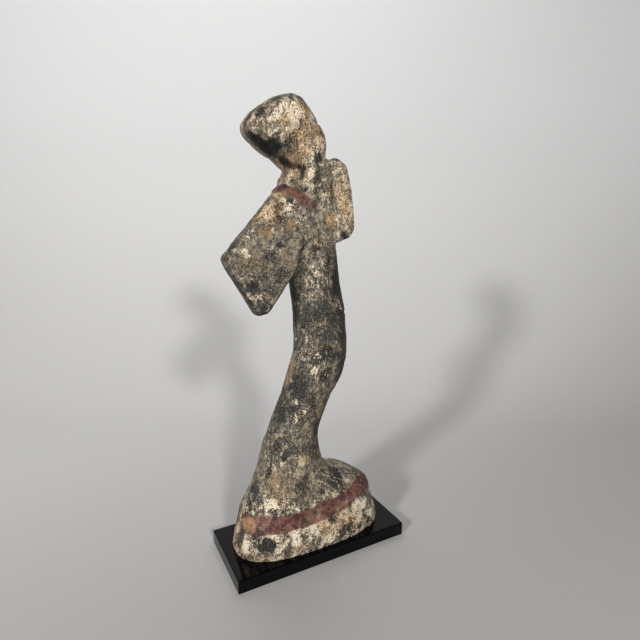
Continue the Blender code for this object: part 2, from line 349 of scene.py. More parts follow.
# Brush strokes on the face: across, height, bend, half length, half width, share, colour
FACE_STROKES = [
    (7.2, 14.4, 0.040, 5.2, 0.75, 0.8, "#221E1B"),   # brow
    (6.8, 10.2, 0.075, 4.2, 0.50, 0.85, "#1E1B19"),  # upper lid
    (6.8, 9.0, 0.0, 1.2, 1.10, 0.8, "#1E1B19"),      # pupil
    (6.8, 7.9, -0.030, 3.0, 0.35, 0.5, "#2C2622"),   # lower lid
    (0.0, -3.6, 0.0, 3.9, 2.30, 0.75, "#8E4038"),    # lips
]
# The crossed front of the robe, as X and Z along its overlapping and its tucked-in edge
LAPELS = (
    [(-24, 316), (-16, 303), (-4, 289), (8, 277), (17, 266)],
    [(6, 318), (4, 309), (-1, 300), (-7, 292)],
)
LAPEL_HALF = 2.6

# Soft fillings in the creases between the forms: centre, then half sizes
FILLINGS = [
    ((5, -9, 318), (13, 9, 18)),    # between the tail of hair and the raised shoulder
    ((-11, -9, 348), (15, 13.6, 15)),   # over the top of the tail, where the hair runs into it
    ((-5, -7, 268), (13, 10.8, 28)),    # between the dropped sleeve and the back
]

# How much of the tan burial earth clings, by height
EARTH_LEFT = [
    (0, 0.60), (40, 0.54), (75, 0.62), (100, 0.52), (130, 0.46), (155, 0.52), (185, 0.52),
    (205, 0.38), (235, 0.50), (260, 0.66), (300, 0.68), (340, 0.72), (380, 0.68),
]

# How ochre the earth and slip are stained, by height
OCHRE_LEFT = [
    (0, 0.20), (60, 0.18), (90, 0.02), (200, -0.10), (235, 0.0), (260, 0.22), (300, 0.22),
    (345, 0.34), (380, 0.30),
]

# The clay surface: how finely it is meshed, in metres, and how often it is wiped smooth
CLAY_GRAIN = 0.0011
SMOOTHING_PASSES = 3
# The box that cuts the foot flat, in metres: half its width, and its depth
CUTTER_HALF = 0.2
CUTTER_DEPTH = 0.1

# Random waves, each as a size, a seed and an amount
CLAY_WAVES = [(24, 1, 0.35), (9, 2, 0.22), (4, 3, 0.24), (2.2, 4, 0.18)]    # smoothed by hand, flaked
SEAM_WAVES = [(9, 5, 1.2)]      # how the seam wanders up and down
CHIP_WAVES = [(7, 6, 1)]    # where the foot is chipped
SLIP_WAVES = [(30, 11, 0.10), (12, 12, 0.08)]
OCHRE_WAVES = [(18, 13, 0.45)]
EARTH_WAVES = [(14, 14, 0.12), (7, 15, 0.08)]
CRUST_WAVES = [(7, 16, 1)]      # thicker and thinner crust on the hem
RED_WAVES = [(6, 17, 0.30)]     # how the red paint is worn
BORDER_WAVES = [(9, 21, 1.2)]   # how the painted border wanders
BORDER_WIDTH_WAVES = [(6, 22, 0.8)]

# Relief in the clay
COLLAR_LIFT = 0.7
HAIR_LIFT = 1.2     # of the hair above the forehead
SEAM_HEIGHT = 208   # of the wavering joint round the body's back
SEAM_LIFT = 0.45    # of its ridge, and the depth of the groove below it
CHIP_DEPTH = 1.6    # of the chips along the foot

# Streaks in the finish run down the robe, and lean with the dropped sleeve about its top.  On the
# robe they are drawn for a body of these half sizes and stretched to fit.
SLEEVE_TOP = np.array([-20.0, 0, 312.0])
SLEEVE_LEAN = math.radians(-42)
ROBE_HALF_WIDTH = 24
ROBE_HALF_DEPTH = 20

# The photograph's camera, solved from the plinth's corners: it looks along +Y, turned this many
# degrees towards +X, dipped and rolled by these, from this place in metres
CAMERA_YAW = 27.95
CAMERA_DIP = 11.9
CAMERA_ROLL = -0.1
CAMERA_PLACE = (-0.1799, -0.3604, 0.2985)
FOCAL_SHARE = 475 / 640     # focal length as a share of the frame's width
SENSOR_WIDTH = 36

# The paper sweep, in metres: radius of its bend, distance to the wall behind the figure and to
# the edge in front, height of the wall, half width
SWEEP_RADIUS = 0.45
SWEEP_BACK = 0.70
SWEEP_FRONT = 2.0
SWEEP_HEIGHT = 2.4
SWEEP_HALF_WIDTH = 2.5

# Square softboxes: name, place and aim in metres, size, watts, spread in degrees
LAMPS = [
    # two keys beside the camera, each with a soft shadow on the other side of the figure
    ("left", (-1.40, -0.72, 0.87), (0, 0, 0.2), 0.17, 19, 180),
    ("right", (-0.21, -1.52, 0.95), (0, 0, 0.2), 0.17, 17, 180),
    # the wall behind, and the side of the figure that the photograph does not show
    ("backdrop", (-0.23, 0.53, 1.6), (-0.03, 0.80, 0.95), 0.7, 1.2, 90),
    ("front", (0.35, 0.5, 1.2), (0, 0, 0.25), 0.4, 2.6, 180),
]
ROOM_COLOUR = "#D8DCE0"
ROOM_STRENGTH = 0.035


def steady_curve(knots, values, at):
    """A cubic through the values.  Its slope at each is the harmonic mean of the straight slopes on
    either side, or flat where those differ in sign, so that it never overshoots."""
    knots = np.asarray(knots, float)
    values = np.asarray(values, float)
    slopes = np.diff(values, axis=0) / np.diff(knots)[:, None]
    before, after = slopes[:-1], slopes[1:]
    same_way = before * after > 0
    tangents = np.zeros_like(values)
    tangents[1:-1] = np.where(same_way, 2 * before * after / np.where(same_way, before + after, 1), 0)
    tangents[0], tangents[-1] = slopes[0], slopes[-1]
    span = np.clip(np.searchsorted(knots, at) - 1, 0, len(knots) - 2)
    length = (knots[span + 1] - knots[span])[:, None]
    t = (np.asarray(at) - knots[span])[:, None] / length
    return (
        values[span] * (1 + 2 * t) * (1 - t) ** 2
        + tangents[span] * length * t * (1 - t) ** 2
        + values[span + 1] * t**2 * (3 - 2 * t)
        + tangents[span + 1] * length * t**2 * (t - 1)
    )


def ease(low, high, value):
    """0 below low, 1 above high, and between them three times the square of the share of the way,
    less twice its cube."""
    t = np.clip((value - low) / (high - low), 0, 1)
    return t * t * (3 - 2 * t)


def skin(rings):
    """Closed surface over rings[i, j]: walls between neighbours, and a fan to the middle of each end."""
    count, around = rings.shape[:2]
    points = np.concatenate([rings.reshape(-1, 3), rings[[0, -1]].mean(axis=1)])
    row, column = np.meshgrid(np.arange(count - 1), np.arange(around), indexing="ij")
    here = (row * around + column).ravel()
    beside = (row * around + (column + 1) % around).ravel()
    walls = np.stack([here, beside, beside + around, here + around], axis=1)
    rim = np.arange(around)
    turn = (rim + 1) % around
    last = (count - 1) * around
    low_fan = np.stack([turn, rim, np.full(around, count * around)], axis=1)
    high_fan = np.stack([last + rim, last + turn, np.full(around, count * around + 1)], axis=1)
    return points, walls.tolist() + low_fan.tolist() + high_fan.tolist()


def level_rings(sections, spacing=1.5, around=160):
    """Superellipses up a table of height, centre, half sizes and squareness: on each, the shares of
    the two half sizes, to the power of the squareness, add up to 1."""
    table = np.array(sections, float)
    heights = table[:, 0]
    at = np.linspace(heights[0], heights[-1], math.ceil((heights[-1] - heights[0]) / spacing) + 1)
    row = steady_curve(heights, table[:, 1:], at)[:, :, None]
    angle = np.linspace(0, 2 * math.pi, around, endpoint=False)[None, :]
    power = 2 / row[:, 4]
    x = row[:, 0] + row[:, 2] * np.sign(np.cos(angle)) * np.abs(np.cos(angle)) ** power
    y = row[:, 1] + row[:, 3] * np.sign(np.sin(angle)) * np.abs(np.sin(angle)) ** power
    return np.stack([x, y, np.broadcast_to(at[:, None], x.shape)], axis=2)


def head_axes():
    """Across, out and up on the head, as rows: its upright leans towards -X by the tilt."""
    lean = Matrix.Rotation(-HEAD_TILT, 3, "Y")
    return np.array([lean @ Vector((1, 0, 0)), Vector((0, 1, 0)), lean @ Vector((0, 0, 1))])


def hair_tail_rings(count=70, around=64):
    """Level ellipses along the tail, lowest first: half width times the cosine of an angle, and
    half depth times its sine, about a centre that wanders."""
    table = np.array(HAIR_TAIL, float)
    steps = np.linspace(0, len(table) - 1, count)
    row = steady_curve(np.arange(len(table)), table, steps)[::-1, :, None]
    angle = np.linspace(0, 2 * math.pi, around, endpoint=False)[None, :]
    x = row[:, 0] + row[:, 3] * np.cos(angle)
    y = row[:, 1] + row[:, 4] * np.sin(angle)
    return np.stack([x, y, np.broadcast_to(row[:, 2], x.shape)], axis=2)


def rounded_outline(corners, rounding, around=240):
    """A polygon sampled evenly round its edge, each sample averaged over a rounding's length."""
    ring = np.array(corners + corners[:1], float)
    run = np.concatenate([[0], np.cumsum(np.hypot(*np.diff(ring, axis=0).T))])
    at = np.linspace(0, run[-1], around, endpoint=False)
    path = np.stack([np.interp(at, run, ring[:, 0]), np.interp(at, run, ring[:, 1])], axis=1)
    reach = round(rounding / run[-1] * around)
    shifts = range(-reach, reach + 1)
    return sum(np.roll(path, s, axis=0) for s in shifts) / len(shifts)


def slab_rings(corners, faces, count=59):
    """A sleeve: its outline shrunk to one share about its middle, and set another share of the way
    from halfway between its faces to one of them.  The two shares, to the power of the squareness,
    add up to 1, so that the sides are nearly flat and the rim is rounded."""
    outline = rounded_outline(corners, SLEEVE_EDGE_ROUNDING)
    middle = outline.mean(axis=0)
    turn = np.linspace(-math.pi / 2, math.pi / 2, count + 2)[1:-1, None]
    shrink = np.abs(np.cos(turn)) ** (2 / SLEEVE_SQUARENESS)
    depth = np.sign(turn) * np.abs(np.sin(turn)) ** (2 / SLEEVE_SQUARENESS)
    x = middle[0] + shrink * (outline[:, 0] - middle[0])
    z = middle[1] + shrink * (outline[:, 1] - middle[1])
    low, high = outline[:, 1].min(), outline[:, 1].max()
    (back_low, front_low), (back_high, front_high) = faces
    share = (z - low) / (high - low)
    back = back_low + share * (back_high - back_low) - SLEEVE_CROWN_RISE
    front = front_low + share * (front_high - front_low) + SLEEVE_CROWN_RISE
    y = (back + front) / 2 + depth * (front - back) / 2
    return np.stack([x, y, z], axis=2)


def ball_rings(middle, half, count=32, around=48):
    """An ellipsoid: circles of latitude, as wide as the cosine and as high as the sine of their
    latitude, scaled by its half sizes."""
    latitude = np.linspace(-math.pi / 2, math.pi / 2, count + 2)[1:-1, None]
    angle = np.linspace(0, 2 * math.pi, around, endpoint=False)[None, :]
    x, y = np.cos(latitude) * np.cos(angle), np.cos(latitude) * np.sin(angle)
    ring = np.stack([x, y, np.broadcast_to(np.sin(latitude), x.shape)], axis=2)
    return np.array(middle) + ring * np.array(half)


def on_pivot(rings):
    """Rings given across, out and up on the head, in the figure's own directions."""
    return np.array(HEAD_PIVOT) + rings @ head_axes()


def head_form_rings(side, height, distance, half_across, half_up, half_out):
    """An ellipsoid that stands upright on the tilted head."""
    return on_pivot(ball_rings((side, distance, height), (half_across, half_out, half_up)))


def place(name, points, faces):
    """Puts a mesh in the scene as a named object at the origin."""
    mesh = bpy.data.meshes.new(name)
    mesh.from_pydata(points.tolist(), [], faces)
    piece = bpy.data.objects.new(name, mesh)
    bpy.context.scene.collection.objects.link(piece)
    return piece


def finished(piece):
    """The piece's mesh with its modifiers worked in."""
    shown = piece.evaluated_get(bpy.context.evaluated_depsgraph_get())
    mesh = bpy.data.meshes.new_from_object(shown)
    piece.modifiers.clear()
    piece.data = mesh
    return mesh


def fused_clay():
    """All the forms fused as one clay surface by voxels, then smoothed and cut flat at the foot."""
    forms = [
        level_rings(BODY_SECTIONS),
        hair_tail_rings(),
        on_pivot(level_rings(HEAD_SECTIONS)),
        slab_rings(DROPPED_SLEEVE, DROPPED_SLEEVE_FACES)[::-1],
        slab_rings(DRAWN_SLEEVE, DRAWN_SLEEVE_FACES)[::-1],
        *[head_form_rings(*form) for form in HEAD_FORMS],
        *[ball_rings(*filling) for filling in FILLINGS],
    ]
    points, faces, used = [], [], 0
    for more, walls in map(skin, forms):
        points.append(more)
        faces += [[used + corner for corner in face] for face in walls]
        used += len(more)
    points = np.concatenate(points) * PART + [0, 0, FOOT.z]
    clay = place("dancer_clay", points, faces)
    fuse = clay.modifiers.new("fused", "REMESH")
    fuse.mode = "VOXEL"
    fuse.voxel_size = CLAY_GRAIN
    wipe = clay.modifiers.new("wiped smooth", "SMOOTH")
    wipe.factor = 0.5
    wipe.iterations = SMOOTHING_PASSES
    low = (-CUTTER_HALF, -CUTTER_HALF, FOOT.z - CUTTER_DEPTH)
    cutter = place("foot_cutter", *box_mesh(low, (CUTTER_HALF, CUTTER_HALF, FOOT.z)))
    cut = clay.modifiers.new("flat foot", "BOOLEAN")
    cut.operation = "DIFFERENCE"
    cut.object = cutter
    mesh = finished(clay)
    bpy.data.objects.remove(cutter)
    return clay, mesh


def box_mesh(low, high):
    """Corners and outward faces of a box."""
    low, high = np.array(low, float), np.array(high, float)
    pick = np.array([[i >> 2 & 1, i >> 1 & 1, i & 1] for i in range(8)])
    faces = [[0, 1, 3, 2], [4, 6, 7, 5], [0, 4, 5, 1], [2, 3, 7, 6], [0, 2, 6, 4], [1, 5, 7, 3]]
    return low + pick * (high - low), faces


def field(points, size, seed, cells=64):
    """Smooth random values from -1 to 1: a random lattice of that spacing, its cells' corners mixed
    by the eased share of the way across."""
    lattice = np.random.default_rng(seed).uniform(-1, 1, (cells, cells, cells))
    place_in = points / size
    cell = np.floor(place_in).astype(int)
    t = place_in - cell
    t = t * t * (3 - 2 * t)
    total = np.zeros(len(points))
    for corner in np.ndindex(2, 2, 2):
        weight = np.prod(np.where(np.array(corner) == 1, t, 1 - t), axis=1)
        total += weight * lattice[tuple(((cell + corner) % cells).T)]
    return total


def waves(points, table):
    """Random waves of several sizes added up, each times its amount."""
    return sum(amount * field(points, size, seed) for size, seed, amount in table)


def spread(mesh, values, rounds):
    """Each vertex's value averaged with its neighbours' over a number of rounds."""
    edges = np.empty(len(mesh.edges) * 2, np.int32)
    mesh.edges.foreach_get("vertices", edges)
    one, other = edges.reshape(-1, 2).T
    count = len(mesh.vertices)
    degree = np.bincount(one, minlength=count) + np.bincount(other, minlength=count)
    columns = values.reshape(count, -1).T
    for _ in range(rounds):
        columns = np.array([
            (np.bincount(one, column[other], count) + np.bincount(other, column[one], count)) / degree
            for column in columns
        ])
    return columns.T.reshape(values.shape)


def read_vectors(items, name):
    """A mesh's vertex positions or normals as rows."""
    flat = np.empty(len(items) * 3, np.float32)
    items.foreach_get(name, flat)
    return flat.reshape(-1, 3).astype(float)


def daubs(points, table):
    """The strongest daub at each point.  A daub is its amount in the middle of an ellipsoid of its
    half sizes and of one depth for all, and fades out across the ellipsoid's surface."""
    strongest = np.zeros(len(points))
    for x, y, z, half_across, half_along, lean, amount in table:
        offset = points - np.array([x, y, z])
        across, up, inward = offset @ DAUB_ACROSS, offset[:, 2], offset @ DAUB_INWARD
        turn = math.radians(lean)
        u = across * math.cos(turn) - up * math.sin(turn)
        v = across * math.sin(turn) + up * math.cos(turn)
        away = np.sqrt((u / half_across) ** 2 + (v / half_along) ** 2 + (inward / DAUB_HALF_DEPTH) ** 2)
        strongest = np.maximum(strongest, amount * (1 - ease(0.35, 1.35, away)))
    return strongest


def border(points):
    """1 on the middle line of the painted border round the hem, 0 from its wavering edges outwards."""
    table = np.array(BORDER, float)
    middle = np.interp(points[:, 0], table[:, 0], table[:, 1]) + waves(points, BORDER_WAVES)
    half = np.interp(points[:, 0], table[:, 0], table[:, 2]) + waves(points, BORDER_WIDTH_WAVES)
    # fainter round the trailing end, towards the front
    faint = 1 - 0.55 * ease(-58, -66, points[:, 0]) * ease(-12, 0, points[:, 1])
    return faint * (1 - ease(0.8, 1.15, np.abs(points[:, 2] - middle) / half))


def near_line(points, line, half, samples=60):
    """1 on a line given as X and Z, 0 beyond its half width, however deep the point lies."""
    line = np.array(line, float)
    steps = np.arange(len(line))
    fine = np.linspace(0, steps[-1], samples)
    spots = np.stack([np.interp(fine, steps, line[:, i]) for i in (0, 1)], axis=1)
    away = np.min(np.hypot(points[:, [0]] - spots[:, 0], points[:, [2]] - spots[:, 1]), axis=1)
    return 1 - ease(0.6, 1.4, away / half)


def collar(points):
    """1 on the collar across the back of the shoulders and on the crossed edges of the front."""
    behind = near_line(points, COLLAR, COLLAR_HALF) * ease(4, -4, points[:, 1])
    behind = behind * ease(7, -6, points[:, 0])     # fades out towards the raised shoulder
    over, under = (near_line(points, line, LAPEL_HALF) for line in LAPELS)
    return np.maximum(behind, np.maximum(over, under) * ease(-2, 4, points[:, 1]))


def on_head(points, normals):
    """Across and up on the head, and a mask of the face and the hair above it: 1 where a point is
    well out on the head's front and turned to the front."""
    across, out, up = ((points - HEAD_PIVOT) @ head_axes().T).T
    facing = ease(0.1, 0.6, normals[:, 1]) * ease(-15, -12, up) * ease(8, 13, out)
    return across, up, facing


def hairline_level(across, up):
    """Height on the head, bent so that the arch of the hairline is level."""
    return up + 0.03 * across**2


def press_relief(mesh):
    """Moves the clay along its normals: hand-smoothing, collar, face, seam, hollows and chips."""
    points = (read_vectors(mesh.vertices, "co") - [0, 0, FOOT.z]) / PART
    normals = read_vectors(mesh.vertices, "normal")
    lift = waves(points, CLAY_WAVES) + COLLAR_LIFT * collar(points)
    across, up, facing = on_head(points, normals)
    lift *= 1 - 0.7 * facing    # the face is smoother
    for middle, level, half_across, half_up, amount in FACE_RELIEF:
        away = np.hypot((np.abs(across) - middle) / half_across, (up - level) / half_up)
        lift += amount * facing * (1 - ease(0.25, 1.15, away))
    lift += HAIR_LIFT * facing * ease(22.5, 24.5, hairline_level(across, up))
    # the seam is a ridge with a groove close below it, round the back only
    above = points[:, 2] - (SEAM_HEIGHT + waves(points, SEAM_WAVES))
    behind = ease(0.3, -0.3, normals[:, 1])
    lift += SEAM_LIFT * behind * np.exp(-((above - 1.2) / 1.1) ** 2)
    lift -= SEAM_LIFT * behind * np.exp(-((above + 1.0) / 1.0) ** 2)
    for middle, half, depth in HOLLOWS:
        away = np.sqrt(np.sum(((points - middle) / half) ** 2, axis=1))
        lift -= depth * (1 - ease(0.2, 1.2, away))
    lift -= CHIP_DEPTH * ease(0.15, 0.6, waves(points, CHIP_WAVES)) * ease(5, 0, points[:, 2])
    lift *= ease(0.0, 1.5, points[:, 2])    # the cut foot stays flat
    points = points + normals * lift[:, None]
    points[:, 2] = np.maximum(points[:, 2], 0)
    mesh.vertices.foreach_set("co", (points * PART + [0, 0, FOOT.z]).astype(np.float32).ravel())
    mesh.update()
    return points, normals


def by_height(points, table):
    """The value that a table of heights and values gives at each point's height."""
    heights, values = np.array(table, float).T
    return np.interp(points[:, 2], heights, values)


def streak_grain(points):
    """Coordinates for the streaks, in metres: turned with the dropped sleeve, and on the robe
    moved and stretched sideways so that its sway and its spread are taken out."""
    lean = ease(-20, -34, points[:, 0]) * ease(205, 215, points[:, 2])
    lean = lean * ease(322, 312, points[:, 2]) * SLEEVE_LEAN
    table = np.array(BODY_SECTIONS, float)
    middle_x, _, half_width, half_depth, _ = steady_curve(table[:, 0], table[:, 1:], points[:, 2]).T
    robe = ease(262, 240, points[:, 2])
    swayed = (points[:, 0] - middle_x) * ROBE_HALF_WIDTH / half_width + SLEEVE_TOP[0]
    x = points[:, 0] + robe * (swayed - points[:, 0])
    y = points[:, 1] * (1 + robe * (ROBE_HALF_DEPTH / half_depth - 1))
    x, y, z = (np.stack([x, y, points[:, 2]], axis=1) - SLEEVE_TOP).T
    turned = [x * np.cos(lean) - z * np.sin(lean), y, x * np.sin(lean) + z * np.cos(lean)]
    return np.stack(turned, axis=1) * PART


def paint_layers(mesh, points, normals):
    """Writes the layers that the finish reads: place on the face, grain of the streaks, coverage
    (slip, ochre stain, red, earth), and rubbed rims, painted shade in the hollows and rusted red."""
    rise = np.sum((points - spread(mesh, points, 7)) * normals, axis=1)
    rise = spread(mesh, rise, 3)
    across, up, facing = on_head(points, normals)
    rims = ease(0.10, 0.55, rise) * (1 - facing)
    # painted shade: darker in creases and hollows, less so on the face, and fullest in the painted shade
    # daubs
    hollows = np.maximum(ease(0.15, 0.9, -rise) * (1 - 0.6 * facing), daubs(points, PAINTED_SHADE_DAUBS))

    slip = by_height(points, SLIP_LEFT) + waves(points, SLIP_WAVES)
    more, less = daubs(points, SLIP_DAUBS), daubs(points, BARE_PATCHES)
    far_sleeve = ease(12, 20, points[:, 0]) * ease(262, 272, points[:, 2])
    slip += 0.16 * far_sleeve
    # a daub takes the slip most of the way to whole, a bare patch most of the way to none
    slip = slip + more * (0.95 - slip) * 0.8
    slip = slip - less * (slip - 0.02) * 0.95
    stained = daubs(points, EARTH_STAINS)
    earth = by_height(points, EARTH_LEFT) + 0.2 * far_sleeve
    earth += waves(points, EARTH_WAVES)
    earth += 0.4 * stained
    earth = earth - 0.8 * less * earth
    # painted shade: less slip and earth, so darker, where the robe turns to +X, away from the keys on the
    # raised shoulder's side; and patchy crusts on the hem
    painted_shade_side = ease(0.2, 0.9, normals[:, 0]) * ease(70, 110, points[:, 2]) * ease(275, 255, points[:, 2])
    slip, earth = slip - 0.20 * painted_shade_side, earth - 0.36 * painted_shade_side
    crust = ease(60, 30, points[:, 2]) * waves(points, CRUST_WAVES)
    slip, earth = slip + 0.22 * crust, earth + 0.25 * crust
    stain = np.maximum(stained, by_height(points, OCHRE_LEFT) + waves(points, OCHRE_WAVES))
    # the face keeps its slip, and the hair above it has less than the rest
    face = facing * ease(25, 22, hairline_level(across, up))
    slip = slip + face * (0.85 - slip) * 0.85
    slip, earth = slip - 0.25 * (facing - face), earth - 0.25 * (facing - face)
    worn = 0.84 + waves(points, RED_WAVES)
    red = worn * np.maximum(border(points), np.maximum(daubs(points, RED_DABS), collar(points)))
    rust = daubs(points, RUST_DABS)
    red = np.maximum(red, rust)

    one = np.ones(len(points))
    write(mesh, "face", "FLOAT_VECTOR", "vector", np.stack([across, up, face], axis=1))
    write(mesh, "grain", "FLOAT_VECTOR", "vector", streak_grain(points))
    write(mesh, "coverage", "FLOAT_COLOR", "color", np.stack([slip, stain, red, earth], axis=1))
    write(mesh, "wear_and_shade", "FLOAT_COLOR", "color", np.stack([rims, hollows, rust, one], axis=1))


def write(mesh, name, kind, field_name, values):
    """Stores rows of values as a vertex attribute."""
    layer = mesh.attributes.new(name, kind, "POINT")
    layer.data.foreach_set(field_name, np.ascontiguousarray(values, np.float32).ravel())


def linear(code):
    """An sRGB hex colour as linear red, green, blue and full alpha."""
    parts = [int(code[i:i + 2], 16) / 255 for i in (1, 3, 5)]
    return (*[c / 12.92 if c <= 0.04045 else ((c + 0.055) / 1.055) ** 2.4 for c in parts], 1)


def node(tree, kind, inputs=(), **settings):
    """Adds a node with its settings, and sets each input, or links it where a node or one of its
    sockets is given."""
    new = tree.nodes.new(kind)
    for name, value in settings.items():
        setattr(new, name, value)
    for name, value in dict(inputs).items():
        if isinstance(value, bpy.types.Node):
            value = next(socket for socket in value.outputs if socket.enabled)
        if isinstance(value, bpy.types.NodeSocket):
            tree.links.new(value, new.inputs[name])
        else:
            new.inputs[name].default_value = value
    return new


def new_material(name):
    """A named material with an empty node tree, and its tree."""
    material = bpy.data.materials.new(name)
    material.use_nodes = True
    material.node_tree.nodes.clear()
    return material, material.node_tree


def coated(tree, ground, coats):
    """Colours laid over a ground one after the other: each shows where its mask rises from low to
    high, up to its share."""
    for colour, mask, low, high, share in coats:
        amount = node(tree, "ShaderNodeMapRange", {
            "Value": mask, "From Min": low, "From Max": high, "To Max": share,
        }, interpolation_type="SMOOTHSTEP")
        ground = node(tree, "ShaderNodeMix", {0: amount, 6: ground, 7: colour}, data_type="RGBA")
    return ground


def painted_earthenware():
    """Low-fired grey earthenware, moulded, coated with white slip and cold-painted, then buried:
    a chalky matt skin that flakes to slate-grey clay, with tan earth caught in it."""
    material, tree = new_material("painted_earthenware")
    place_on = node(tree, "ShaderNodeTexCoord").outputs["Object"]
    shifted = node(tree, "ShaderNodeMapping", {"Vector": place_on, "Location": (0.31, 0.17, 0.53)})
    grain = node(tree, "ShaderNodeAttribute", attribute_name="grain").outputs["Vector"]
    along = node(tree, "ShaderNodeMapping", {"Vector": grain, "Scale": (1, 1, 0.28)})
    coverage = node(tree, "ShaderNodeAttribute", attribute_name="coverage")
    slip, stain, red = node(tree, "ShaderNodeSeparateColor", {0: coverage}).outputs
    earth = coverage.outputs["Alpha"]
    wear_and_shade = node(tree, "ShaderNodeAttribute", attribute_name="wear_and_shade")
    rims, hollows, rust = node(tree, "ShaderNodeSeparateColor", {0: wear_and_shade}).outputs

    # Random break-up: name, coordinates, size in mm, detail, roughness, bend.  Real crazing and
    # grit are finer than these and would not show, so they are drawn at 0.75 to 1.15 mm.
    noise = {
        name: node(tree, "ShaderNodeTexNoise", {
            "Vector": where, "Scale": 1 / (size * MILLIMETRE), "Detail": detail,
            "Roughness": rough, "Distortion": bend,
        })
        for name, where, size, detail, rough, bend in (
            ("patches", place_on, 8.0, 4.0, 0.66, 0.6),
            ("flakes", place_on, 1.7, 2.0, 0.75, 0.8),
            ("crumbs", shifted, 1.15, 1.0, 0.7, 0.3),
            ("grit", place_on, 0.75, 1.0, 0.6, 0.0),
            ("streaks", along, 1.7, 2.0, 0.65, 0.3),
            ("earth", shifted, 1.6, 2.0, 0.75, 0.8),
            ("tones", shifted, 5.0, 2.0, 0.6, 0.8),
            ("broad", shifted, 22.0, 3.0, 0.5, 0.0),
        )
    }
    # How much of each layer is left: its cover and an offset that sets the balance, less shares
    # of the break-ups
    left = {}
    for name, cover, offset, shares in (
        ("slip", slip, 1.58, (("patches", 1.6), ("flakes", 1.1), ("streaks", 0.9), ("crumbs", 0.4))),
        ("earth", earth, 0.97, (("earth", 1.2), ("streaks", 1.1), ("patches", 0.6))),
        ("red", red, 1.74, (("flakes", 1.7), ("streaks", 0.8), ("crumbs", 1.1), ("patches", 0.8))),
    ):
        total = node(tree, "ShaderNodeMath", {0: cover, 1: offset}, operation="ADD")
        for source, share in shares:
            total = node(tree, "ShaderNodeMath", {
                0: noise[source], 1: -share, 2: total,
            }, operation="MULTIPLY_ADD")
        left[name] = total
    ochre = node(tree, "ShaderNodeMath", {0: stain, 1: noise["tones"]}, operation="MULTIPLY")

    # slate clay, smoky in broad patches, with a dusty bloom in streaks and pale grit
    clay = coated(tree, linear("#0B0D0E"), (
        (linear("#262625"), noise["broad"], 0.40, 0.62, 1.0),
        (linear("#5A5751"), noise["streaks"], 0.48, 0.64, 0.50),
        (linear("#7A7264"), noise["grit"], 0.56, 0.70, 0.35),
    ))
    # burial earth, grey-tan to tan, ochre where it stained
    earth_colour = coated(tree, linear("#65625A"), (
        (linear("#AB9C82"), noise["tones"], 0.38, 0.62, 1.0),
        (linear("#A58259"), ochre, 0.05, 0.40, 0.7),
    ))
    # slip, cream to bone white where it is thick, ochre where it is stained
    slip_colour = coated(tree, linear("#B7A68C"), (
        (linear("#DACAAE"), noise["tones"], 0.40, 0.60, 1.0),
        (linear("#F5E7CD"), left["slip"], 0.10, 0.30, 1.0),
        (linear("#C79F6B"), ochre, 0.05, 0.40, 0.7),
    ))
    # iron red, darkened by soot, orange-tan where it has rusted
    red_colour = coated(tree, linear("#4A2A29"), (
        (linear("#824D44"), noise["tones"], 0.35, 0.62, 1.0),
        (linear("#B98A62"), rust, 0.2, 0.8, 0.85),
    ))
    rubbed = node(tree, "ShaderNodeMath", {0: rims, 1: noise["flakes"]}, operation="MULTIPLY")
    colour = coated(tree, clay, (
        (earth_colour, left["earth"], -0.18, 0.20, 1.0),
        (slip_colour, left["slip"], -0.06, 0.06, 1.0),
        (linear("#101112"), noise["crumbs"], 0.58, 0.64, 0.88),     # pits through to the clay
        (red_colour, left["red"], -0.02, 0.30, 0.9),
        (linear("#26282A"), rubbed, 0.20, 0.50, 0.75),      # rims rubbed bare
        (linear("#0E0E0E"), noise["grit"], 0.46, 0.34, 0.60),   # soot in the pores
        (linear("#070605"), hollows, 0.0, 1.0, 0.97),       # painted shade in the hollows and creases
    ))
    colour = painted_face(tree, colour, noise["flakes"])

    # chalky where slip is left, a little smoother where the clay is bare
    roughness = node(tree, "ShaderNodeMapRange", {
        "Value": left["slip"], "From Min": -0.2, "From Max": 0.1, "To Min": 0.62, "To Max": 0.92,
    })
    edge = node(tree, "ShaderNodeMapRange", {"Value": left["slip"], "From Min": -0.03, "From Max": 0.03})
    # the slip's broken edge and the grit, as steps of up to 0.9 mm
    thickness = node(tree, "ShaderNodeMath", {0: edge, 1: 0.5}, operation="MULTIPLY")
    for source, share in (("flakes", 0.6), ("crumbs", 0.5), ("grit", 0.3)):
        thickness = node(tree, "ShaderNodeMath", {
            0: noise[source], 1: share, 2: thickness,
        }, operation="MULTIPLY_ADD")
    bump = node(tree, "ShaderNodeBump", {
        "Height": thickness, "Strength": 1.0, "Distance": 0.9 * MILLIMETRE,
    })
    shader = node(tree, "ShaderNodeBsdfPrincipled", {
        "Base Color": colour, "Roughness": roughness, "Specular IOR Level": 0.3, "Normal": bump,
    })
    node(tree, "ShaderNodeOutputMaterial", {"Surface": shader})
    return material


